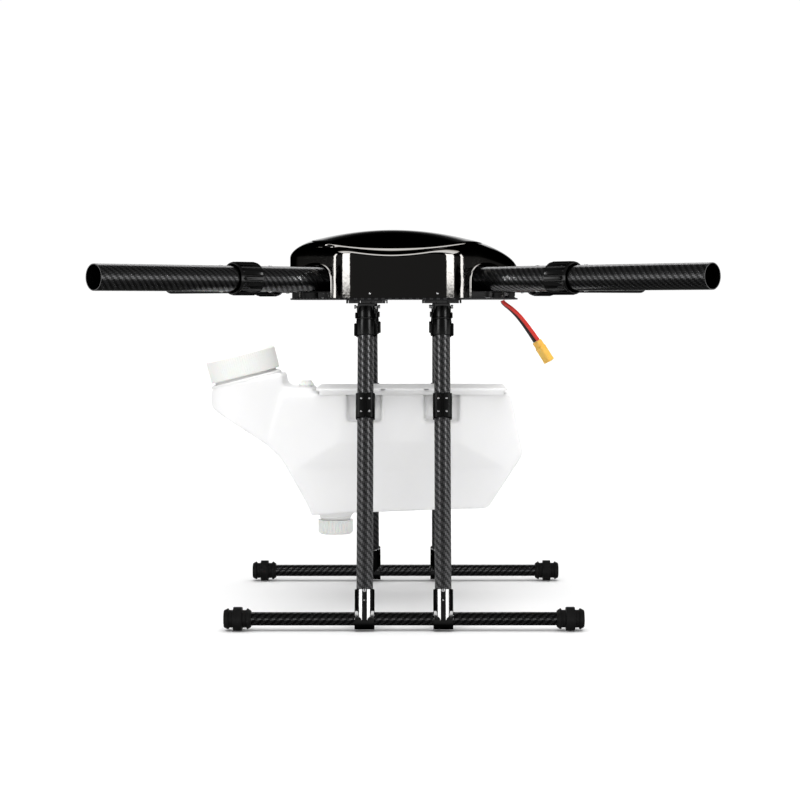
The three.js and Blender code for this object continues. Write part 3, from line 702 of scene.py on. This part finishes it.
def build_skids():
    for end, side_y in (("front", -1), ("rear", 1)):
        at = shift(0, side_y * SKID_AXIS[0], SKID_AXIS[1]) @ ALONG_X
        tube(f"skid_{end}", "skid", "carbon_skid", SKID_R, SKID_BORE, -SKID_HALF, SKID_HALF, at, ROOT,
             f"skid_tube_{end}")
        for flank, side_x in (("left", -1), ("right", 1)):
            foot(end, side_y, flank, side_x)


# ---------- canopy ----------
HALF = 188                        # from the middle of the hub to each flat wall
FRONT_X = (-98, 80)               # where the front and back walls end
CORNER = 50
CANOPY_BOTTOM = 520
CANOPY_WALL = 2.5
SIDE_NOTCH_X, SIDE_NOTCH_Z = 148, 531
PEAK_X, PEAK_Z = -20, 635
LID_ARC = 1000
SHOULDER_Z = 604
LID_X, LID_HALF_X, LID_HALF_Y = -12, 143, 166
RIM_REACH, RIM_WIDTH = 2.6, 2.4
CANOPY_SCREW_X, CANOPY_SCREW_Z = 54, 526.5
SPACER_X, SPACER_Y = ((-186, -143), (147, 167), (173, 184)), (-48, 0, 48)


def hub_outline(spacing=5):
    """Points round the eight-sided canopy, evenly spaced, with round corners."""
    left, right = FRONT_X
    corners = [(HALF, -right), (HALF, right), (right, HALF), (left, HALF),
               (-HALF, -left), (-HALF, left), (left, -HALF), (right, -HALF)]
    rounded = smooth_corners(corners, CORNER * math.tan(math.pi / 8), 8, True)
    made = []
    for a, b in zip(rounded, rounded[1:] + rounded[:1]):
        parts = max(1, round(math.dist(a, b) / spacing))
        made += [tuple(Vector(a).lerp(Vector(b), k / parts)) for k in range(parts)]
    return made


def crown(x, y):
    """Height of the lid: an arc along X that falls away towards the front and back."""
    along = x - PEAK_X
    fall = 9 + 28 * max(0.0, 1 - (along / 137) ** 2)
    return PEAK_Z - along * along / LID_ARC - fall * (abs(y) / 168) ** 1.7


def lid_edge(x, y):
    """Where the raised lid ends, on the ray from the middle of the lid through (x, y)."""
    angle = math.atan2(y, x - LID_X)
    power = 3.6
    reach = abs(math.cos(angle) / LID_HALF_X) ** power + abs(math.sin(angle) / LID_HALF_Y) ** power
    reach **= -1 / power
    return LID_X + reach * math.cos(angle), reach * math.sin(angle)


def smoothstep(value, low, high):
    t = min(1.0, max(0.0, (value - low) / (high - low)))
    return t * t * (3 - 2 * t)


def wall_top(x):
    """Height at which the rounded wall ends: low in the middle of the front and back."""
    along = abs(x - PEAK_X)
    if along < 111:
        return SHOULDER_Z - 14.5 + 14.5 * (along / 111) ** 1.8
    if x < 0:
        return SHOULDER_Z + smoothstep(-x, 131, HALF)
    return SHOULDER_Z - 14 * ((x - 91) / 97) ** 1.6


def slope_curve(wall, edge, low, edge_z, inward):
    """A cubic curve of (place, height) pairs, from upright at the wall to the lid's own slope at its edge."""
    reach = (edge - wall).length
    ahead = edge + inward * 2
    slope = (crown(ahead.x, ahead.y) - crown(edge.x, edge.y)) / 2
    lift = 0.42 * (edge_z - low)
    back = 0.45 * reach
    sag = back * max(0.05, slope) * 1.2
    ends = [(0, low), (0, low + lift), (reach - back, edge_z - sag), (reach, edge_z)]
    made = []
    for k in range(13):
        t = k / 12
        share = ((1 - t) ** 3, 3 * t * (1 - t) ** 2, 3 * t * t * (1 - t), t ** 3)
        made.append(tuple(sum(w * end[i] for w, end in zip(share, ends)) for i in (0, 1)))
    return made


def canopy_section(x, y, lip):
    """One section of the shell, from the bottom of the wall at (x, y) to near the lid's middle."""
    edge = Vector(lid_edge(x, y))
    wall = Vector((x, y))
    inward = (edge - wall).normalized()
    reach = (edge - wall).length
    top = wall_top(x)
    sideways = smoothstep(abs(x - PEAK_X), 84, 150)
    step = 1.8 * smoothstep(abs(edge.y), 10, 80)
    fillet = 5 + 14 * smoothstep(abs(x - PEAK_X), 60, 115) + 6 * smoothstep(x, 120, 188)
    low = top - fillet
    rows = [(x, y, lip + (low - lip) * k / 6) for k in range(6)]
    edge_z = crown(edge.x, edge.y) - step
    shelf = []
    for k in range(13):
        if k < 7:
            a = math.pi / 2 * k / 6
            shelf.append((fillet * (1 - math.cos(a)), top - fillet * (1 - math.sin(a))))
        else:
            t = (k - 6) / 6
            shelf.append((fillet + (reach - fillet) * t, top + (edge_z - top) * t * t))
    for flat, sloped in zip(shelf, slope_curve(wall, edge, low, edge_z, inward)):
        along = flat[0] + (sloped[0] - flat[0]) * sideways
        spot = wall + inward * along
        rows.append((spot.x, spot.y, flat[1] + (sloped[1] - flat[1]) * sideways))
    for back, drop in ((0.5, 0.5), (1.2, 0.14), (2.4, 0.0)):
        spot = edge + inward * back
        rows.append((spot.x, spot.y, crown(spot.x, spot.y) - drop * step))
    rim = edge + inward * 2.4
    middle = Vector((PEAK_X, 0))
    for k in range(1, 15):
        spot = rim.lerp(middle, (k / 15) ** 0.9)
        rows.append((spot.x, spot.y, crown(spot.x, spot.y)))
    return rows


def arch_points(half, top, base, steps=20):
    """A doorway with a rounded head, from foot to foot."""
    head = 0.8 * half
    points = [(-half, base)]
    for k in range(steps + 1):
        a = math.pi * k / steps
        across, up = math.cos(a), math.sin(a)
        points.append((-half * math.copysign(abs(across) ** 0.8, across), top - head + head * up ** 0.8))
    return points + [(half, base)]


def build_canopy():
    sections = [canopy_section(x, y, CANOPY_BOTTOM if abs(x) < SIDE_NOTCH_X else SIDE_NOTCH_Z)
                for x, y in hub_outline()]
    rows = [[section[k] for section in sections] for k in range(len(sections[0]))]
    piece = Piece("canopy_shell", "gloss")
    piece.grid(rows)
    centre = piece.mesh.verts.new(Vector((PEAK_X, 0, crown(PEAK_X, 0))) * MM)
    ring = [piece.mesh.verts.new(Vector(p) * MM) for p in rows[-1]]
    for a, b in zip(ring, ring[1:] + ring[:1]):
        piece.mesh.faces.new([a, b, centre])
    shell = piece.bare()
    wall = shell.modifiers.new("wall", "SOLIDIFY")
    wall.thickness = CANOPY_WALL * MM
    wall.offset = -1
    bpy.context.view_layer.objects.active = shell
    bpy.ops.object.modifier_apply(modifier="wall")
    for place, angle in ARM_ANGLES.items():
        cutter = Piece(f"arch_{place}", "gloss")
        points = arch_points(ARCH_HALF, ARCH_TOP, CANOPY_BOTTOM - 8)
        at = turn(angle, "Z")
        cutter.grid([[(x, y, z) for y, z in points] for x in (170, 230)], at, ends=True)
        combine(shell, cutter.bare(), "DIFFERENCE")
    adopt(shell, "gloss", "canopy_gloss", "canopy", sharp=40)
    for place, angle in ARM_ANGLES.items():
        arch_rim(place, turn(angle, "Z"))


def arch_rim(place, at):
    """A raised bead round an arm's opening in the canopy."""
    piece = Piece(f"arch_rim_{place}", "gloss")
    near = -FRONT_X[0] if "left" in place else FRONT_X[1]
    face = (HALF + near) / math.sqrt(2)
    path = arch_points(ARCH_HALF + 1.5, ARCH_TOP + 1.5, CANOPY_BOTTOM + 0.5, 24)
    rows = []
    for i, (y, z) in enumerate(path):
        before, after = path[max(0, i - 1)], path[min(len(path) - 1, i + 1)]
        run = Vector((after[0] - before[0], after[1] - before[1])).normalized()
        ring = []
        for k in range(12):
            a = 2 * math.pi * k / 12
            out, aside = face - 0.3 + RIM_REACH * math.cos(a), RIM_WIDTH * math.sin(a)
            ring.append((out, y - run.y * aside, z + run.x * aside))
        rows.append(ring)
    piece.grid(rows, at, ends=True)
    piece.done("canopy_gloss")


def canopy_screws():
    """Button heads low on the front and back walls."""
    piece = Piece("canopy_screws", "steel")
    for side in (-1, 1):
        for x in (-CANOPY_SCREW_X, CANOPY_SCREW_X):
            at = shift(x, side * (HALF - 0.2), CANOPY_SCREW_Z) @ turn(-90 * side, "X")
            screw(piece, at, 1.8, 1.2)
    piece.done("canopy_gloss")


def hub_spacers():
    """Moulded blocks that hold the two plates apart near their left and right edges."""
    piece = Piece("hub_spacers", "moulded")
    for low, high in SPACER_X:
        for y in SPACER_Y:
            piece.block((high - low, 34, 10.6), ((low + high) / 2, y, 524.4), bevel=0.6)
    piece.done("moulded")


# ---------- tank ----------
def block_form(name, outline, low, high, axis):
    """A solid of an outline drawn across an axis: X takes (y, z) points, Y takes (x, z), Z takes (x, y)."""
    at = "XYZ".index(axis)
    piece = Piece(name, "tank")
    piece.grid([[(*spot[:at], level, *spot[at:]) for spot in outline] for level in (low, high)], ends=True)
    return piece.bare()


def combine(target, other, operation):
    made = target.modifiers.new(other.name, "BOOLEAN")
    made.operation = operation
    made.solver = "EXACT"
    made.object = other
    bpy.context.view_layer.objects.active = target
    bpy.ops.object.modifier_apply(modifier=made.name)
    bpy.data.objects.remove(other)


def mirrored(outline):
    return outline + [(-a, b) for a, b in reversed(outline)]


def tank_form():
    """The moulded body: a long trough with a spout, pockets for the clamps and tunnels for the two rails."""
    side = smooth_corners(TANK_SIDE, 9, 4, True)
    body = block_form("tank_body", side, -100, 100, "Y")
    combine(body, block_form("tank_section", mirrored(TANK_SECTION), -400, 300, "X"), "INTERSECT")
    plan = TANK_PLAN + [(x, -y) for x, y in reversed(TANK_PLAN)]
    combine(body, block_form("tank_plan", plan, 100, 400, "Z"), "INTERSECT")
    half = SPOUT_HALF_Y
    spout = block_form("tank_spout", smooth_corners(SPOUT_SIDE, 10, 4, True), -half, half, "Y")
    turns = [math.radians(a) for a in range(90, 271, 9)]
    plan = [(-140, -half - 1), (-140, half + 1)]
    plan += [(SPOUT_END_X + half * math.cos(a), half * math.sin(a)) for a in turns]
    combine(spout, block_form("spout_plan", plan, 100, 450, "Z"), "INTERSECT")
    combine(body, spout, "UNION")
    for low, high in POCKETS:
        for flank in (-1, 1):
            near, far = sorted((flank * (TANK_HALF_Y - POCKET_DEPTH), flank * 120))
            pocket = box_outline(low, high, near, far)
            combine(body, block_form("pocket", pocket, POCKET_BOTTOM, TANK_TOP + 1, "Z"), "DIFFERENCE")
    half, low, high = TUNNEL
    for side in (-1, 1):
        tunnel = box_outline(side * LEG_X - half, side * LEG_X + half, low, high)
        combine(body, block_form("tunnel", tunnel, -120, 120, "Y"), "DIFFERENCE")
    return body


def soften(target, voxel, rounds):
    """Remeshes a solid evenly and smooths its edges as a blow-moulded wall has them."""
    bpy.context.view_layer.objects.active = target
    remesh = target.modifiers.new("even", "REMESH")
    remesh.mode = "VOXEL"
    remesh.voxel_size = voxel * MM
    remesh.adaptivity = 0
    bpy.ops.object.modifier_apply(modifier="even")
    smooth = target.modifiers.new("soft", "SMOOTH")
    smooth.factor = 0.5
    smooth.iterations = rounds
    bpy.ops.object.modifier_apply(modifier="soft")


def adopt(made, look, slot, *nodes, sharp=180):
    """Gives an object made by booleans its look; its slot is not used."""
    made.data.materials.clear()
    dress(made, [look], ROOT, nodes, sharp)


def build_tank():
    body = tank_form()
    soften(body, voxel=2.6, rounds=14)
    adopt(body, "tank", "tank_plastic", "tank_body")
    tank_flange()
    tank_necks()
    filler_cap()
    outlet_cap()
    breather_cap()
    for side, flank in ((-1, "left"), (1, "right")):
        at = shift(side * LEG_X, 0, RAIL_Z) @ turn(90, "X")
        tube(f"rail_{flank}", "skid", "carbon_skid", RAIL_R, RAIL_BORE, -RAIL_HALF, RAIL_HALF, at, ROOT,
             f"tank_rail_{flank}")


def tank_flange():
    """The flat lip round the top of the tank, with two strap slots in each long edge."""
    high = FLANGE_HIGH
    piece = Piece("tank_flange", "tank")
    plan = smooth_corners(box_outline(*FLANGE_X, -FLANGE_HALF_Y, FLANGE_HALF_Y), 14, 6, True)
    inset = ((5.2, FLANGE_LOW), (5.2, high - 4.6), (0.6, high - 4.3), (0, high - 3.7), (0, high - 0.8),
             (0.3, high - 0.2), (1.0, high), (12, high + 0.3))
    piece.grid([[(x, y, z) for x, y in offset_outline(plan, distance)] for distance, z in inset], ends=True)
    flange = piece.bare()
    for x in SLOT_X:
        for side in (-1, 1):
            near, far = sorted((side * (FLANGE_HALF_Y + 2), side * (FLANGE_HALF_Y - 15)))
            slot = box_outline(x - 4, x + 4, near, far)
            combine(flange, block_form("slot", slot, high - 3.4, high - 1.0, "Z"), "DIFFERENCE")
    adopt(flange, "tank", "tank_plastic", sharp=35)


def tilted_neck():
    return shift(FILLER_X, 0, FILLER_Z) @ Matrix.Rotation(-FILLER_TILT, 4, "Y")


def tank_necks():
    """The filler neck with its stop ring and thread, and the outlet neck."""
    piece = Piece("tank_necks", "tank")
    neck = [(47, -8), (58, -16), (60.5, -13), (60.5, -2), (57.5, 0), (53, 0.4), (53, 3), (52.3, 4),
            (52.3, 24), (47, 24)]
    piece.lathe(smooth_corners(neck, 1.5, 3, True), tilted_neck(), sides=96, loop=True)
    spout = [(19, 134), (24, 134), (24, 146), (26.5, 147.5), (26.5, 151), (29, 153), (36, 160), (36, 166),
             (19, 166)]
    piece.lathe(smooth_corners(spout, 1.2, 3, True), shift(OUTLET_X, 0, 0), sides=72, loop=True)
    piece.done("tank_plastic")


def knurl(count, depth, low, high, radius):
    """A wave for a lathe: upright ribs between two heights on the part near a radius."""
    def reach(angle, r, height):
        if r < radius - 1 or not low <= height <= high:
            return r
        return r - depth * (0.5 - 0.5 * math.cos(angle * count)) ** 0.6
    return reach


def filler_cap():
    piece = Piece("filler_lid", "cap", "filler_lid")
    bore, wall = 53.8, 59.3
    outer = [(bore, 4), (wall, 4)] + [(wall, h) for h in (9, 10, 14, 22, 30, 36, 37)]
    outer += [(wall - 0.2, 39), (wall - 2.9, 42.3), (wall - 7, 43), (wall - 11, 43), (wall - 12, 42.2),
              (0, 42.2)]
    inner = [(0, 39), (bore, 39)]
    profile = smooth_corners(outer, 0.8, 2) + inner + [(bore, 4)]
    piece.lathe(profile, tilted_neck(), sides=288, wave=knurl(96, 0.45, 9.5, 37.5, wall))
    piece.done("cap_plastic", "filler_cap")


def outlet_cap():
    piece = Piece("outlet_lid", "cap", "outlet_lid")
    outer = [(24.5, 144), (29.3, 144), (29.3, 141.5), (29.3, 141), (29.3, 132), (29.3, 125.5), (29.3, 124.5),
             (28.3, 122.5), (25.5, 120.2), (20, 120), (19, 121), (0, 121)]
    profile = outer + [(0, 124), (24.5, 124), (24.5, 144)]
    piece.lathe(profile, shift(OUTLET_X, 0, 0), sides=216, wave=knurl(36, 1.1, 124, 142, 29))
    piece.done("cap_plastic", "outlet_cap")


def breather_cap():
    piece = Piece("breather_lid", "cap", "breather_lid")
    profile = [(0, 0), (12.9, 0), (12.9, 2.2), (12.2, 3.4), (9.6, 6.6), (8.6, 8.6), (7.4, 9.4), (0, 9.4)]
    piece.lathe(smooth_corners(profile, 0.8, 3), shift(BREATHER_X, 0, BREATHER_Z), sides=96,
                wave=knurl(18, 0.6, 3, 8, 8.8))
    piece.done("cap_plastic", "breather_cap")


# ---------- power lead ----------
LEAD_R = 3.15
LEAD_Y = -20
LEAD_SPREAD = (4.6, 0.7)
LEAD_ROUTE = [
    (165, 515.4), (166.2, 512.6), (170.5, 508.5), (179, 502), (190, 491.5), (200, 479.5), (212, 463),
    (222.5, 447.5),
]
PLUG = Vector((LEAD_ROUTE[-1][0], LEAD_Y, LEAD_ROUTE[-1][1]))
PLUG_TURN = 0.552
PLUG_AXIS = Vector((0.532, 0, -0.847))


def lead_points(side):
    """The middle line of one wire of the pair, which twists as it comes to the plug."""
    last = len(LEAD_ROUTE) - 1
    made = []
    for i, (x, z) in enumerate(LEAD_ROUTE):
        share = math.sin(PLUG_TURN) * i / last
        spread = LEAD_SPREAD[0] + LEAD_SPREAD[1] * i / last
        aside = side * spread * share
        made.append(Vector((x + PLUG_AXIS.z * aside, LEAD_Y + side * spread * math.sqrt(1 - share * share),
                            z - PLUG_AXIS.x * aside)))
    return made


def catmull_rom(points, steps):
    """A centripetal spline through the points."""
    ends = [points[0] * 2 - points[1]] + points + [points[-1] * 2 - points[-2]]
    made = []
    for p0, p1, p2, p3 in zip(ends, ends[1:], ends[2:], ends[3:]):
        knots = [0.0]
        for a, b in ((p0, p1), (p1, p2), (p2, p3)):
            knots.append(knots[-1] + math.sqrt((a - b).length))
        t0, t1, t2, t3 = knots
        for k in range(steps):
            t = t1 + (t2 - t1) * k / steps
            a1 = p0 * ((t1 - t) / (t1 - t0)) + p1 * ((t - t0) / (t1 - t0))
            a2 = p1 * ((t2 - t) / (t2 - t1)) + p2 * ((t - t1) / (t2 - t1))
            a3 = p2 * ((t3 - t) / (t3 - t2)) + p3 * ((t - t2) / (t3 - t2))
            b1 = a1 * ((t2 - t) / (t2 - t0)) + a2 * ((t - t0) / (t2 - t0))
            b2 = a2 * ((t3 - t) / (t3 - t1)) + a3 * ((t - t1) / (t3 - t1))
            made.append(b1 * ((t2 - t) / (t2 - t1)) + b2 * ((t - t1) / (t2 - t1)))
    return made + [points[-1]]


def wire(name, look, side, node):
    path = [p * MM for p in catmull_rom(lead_points(side), 5)]
    data = bpy.data.curves.new(name, "CURVE")
    data.dimensions = "3D"
    data.bevel_depth = LEAD_R * MM
    data.bevel_resolution = 6
    data.use_fill_caps = True
    spline = data.splines.new("POLY")
    spline.points.add(len(path) - 1)
    for point, place in zip(spline.points, path):
        point.co = (*place, 1)
    data.materials.append(LOOK[look])
    made = bpy.data.objects.new(name, data)
    bpy.context.scene.collection.objects.link(made)
    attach(made, ROOT)
    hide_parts(node)


def plug():
    """The two-pole connector: a stepped housing with grip ribs, wire cups and two sockets."""
    tilt = math.atan2(PLUG_AXIS.x, -PLUG_AXIS.z)
    at = shift(*PLUG) @ Matrix.Rotation(-tilt, 4, "Y") @ Matrix.Rotation(PLUG_TURN, 4, "Z")
    piece = Piece("lead_plug", "nylon")
    outline = [(-6, -8.2), (-3.9, -10.4), (3.9, -10.4), (6, -8.2), (6, 8.2), (3.9, 10.4), (-3.9, 10.4),
               (-6, 8.2)]
    front = smooth_corners(outline, 0.9, 2, True)
    rear = [(x * 0.86, y * 0.88) for x, y in front]
    levels = [(0.86, -40.6), (1, -40), (1, -36), (0.97, -35.6), (0.97, -15.4), (1, -15), (1, -12.4),
              (0.97, -12)]
    rows = [[(x * k, y * k, z) for x, y in front] for k, z in levels]
    rows += [[(x, y, z) for x, y in rear] for z in (-11.6, -0.9)]
    rows.append([(x * 0.94, y * 0.96, -0.4) for x, y in rear])
    piece.grid(rows, at, ends=True)
    for side in (-1, 1):
        for k in range(5):
            piece.block((1.0, 12, 1.2), (side * 5.7, 0, -19 - 3.2 * k), at, 0.3, 0.3)
    made = piece.done("connector", "lead_connector")
    cups = Piece("lead_plug_sockets", "black")
    for side in (-1, 1):
        ring = [(1.9, -40.95), (3.2, -40.95), (3.2, -39), (1.9, -39)]
        cups.lathe(ring, at @ shift(0, side * 5.3, 0), sides=24, loop=True)
    cups.done("lead_black")
    return made


def build_lead():
    body = plug()
    wire("wire_red", "red", -1, "lead_red")
    wire("wire_black", "black", 1, "lead_black")


# ---------- assembly ----------
def paint(node, look):
    data = NODES[node].data
    data.materials.clear()
    data.materials.append(LOOK[look])


def paint_cad():
    paint("lower_plate", "plate")
    paint("upper_plate", "plate")
    paint("power_board", "board")
    paint("lead_grommet", "rubber")
    for place in ARM_ANGLES:
        paint(f"arm_socket_{place}", "moulded")
        paint(f"hinge_base_{place}", "anodised")
        paint(f"hinge_knuckle_{place}", "anodised")


make_camera()
make_stage()
build_lead()
for arm in ARM_ANGLES:
    build_arm(arm)
for leg in LEG_PLACES:
    build_leg(leg)
build_skids()
build_canopy()
canopy_screws()
hub_spacers()
build_tank()
paint_cad()
